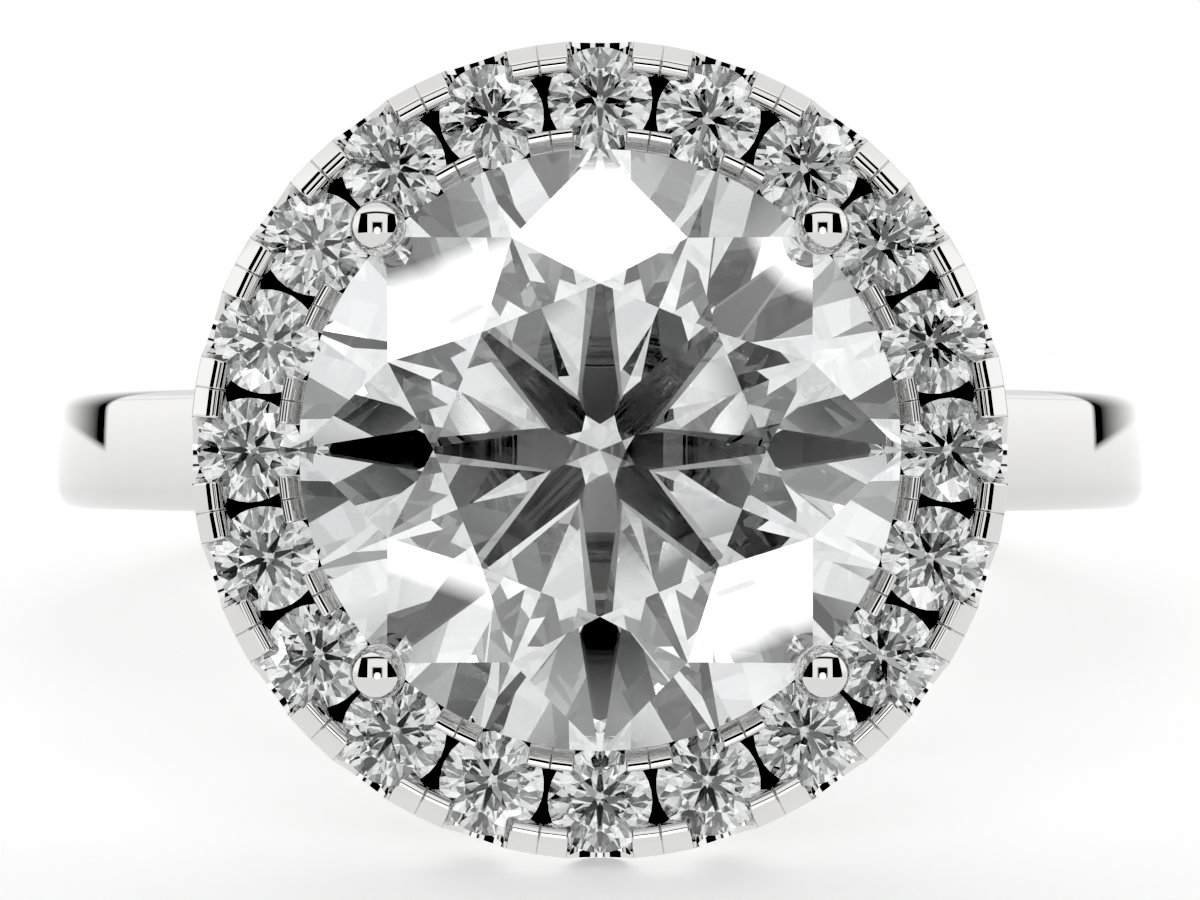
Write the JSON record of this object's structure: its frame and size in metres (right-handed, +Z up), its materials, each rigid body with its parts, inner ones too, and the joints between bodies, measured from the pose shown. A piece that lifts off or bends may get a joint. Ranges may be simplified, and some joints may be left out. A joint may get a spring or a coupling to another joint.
{
  "type": "halo solitaire ring",
  "caption": "Finger ring with a round brilliant held by ball claws inside a round beaded halo of small brilliants, on a plain polished band, lying on its side.",
  "frame": {"origin": "bottom centre of the ring's box as it lies on a floor: the floor is z = 0", "axes": "X across the finger hole, +Y from the stone's table towards the back of the band, +Z up from the floor"},
  "size_m": [0.0206, 0.0268, 0.0127],
  "materials": {
    "polished_white_gold": "polished",
    "diamond": "gloss"
  },
  "bodies": {
    "root": {"mounting": "polished_white_gold", "centre_stone": "diamond", "halo_stone_01": "diamond", "halo_stone_02": "diamond", "halo_stone_03": "diamond", "halo_stone_04": "diamond", "halo_stone_05": "diamond", "halo_stone_06": "diamond", "halo_stone_07": "diamond", "halo_stone_08": "diamond", "halo_stone_09": "diamond", "halo_stone_10": "diamond", "halo_stone_11": "diamond", "halo_stone_12": "diamond", "halo_stone_13": "diamond", "halo_stone_14": "diamond", "halo_stone_15": "diamond", "halo_stone_16": "diamond", "halo_stone_17": "diamond", "halo_stone_18": "diamond", "halo_stone_19": "diamond", "halo_stone_20": "diamond"}
  },
  "joints": []
}
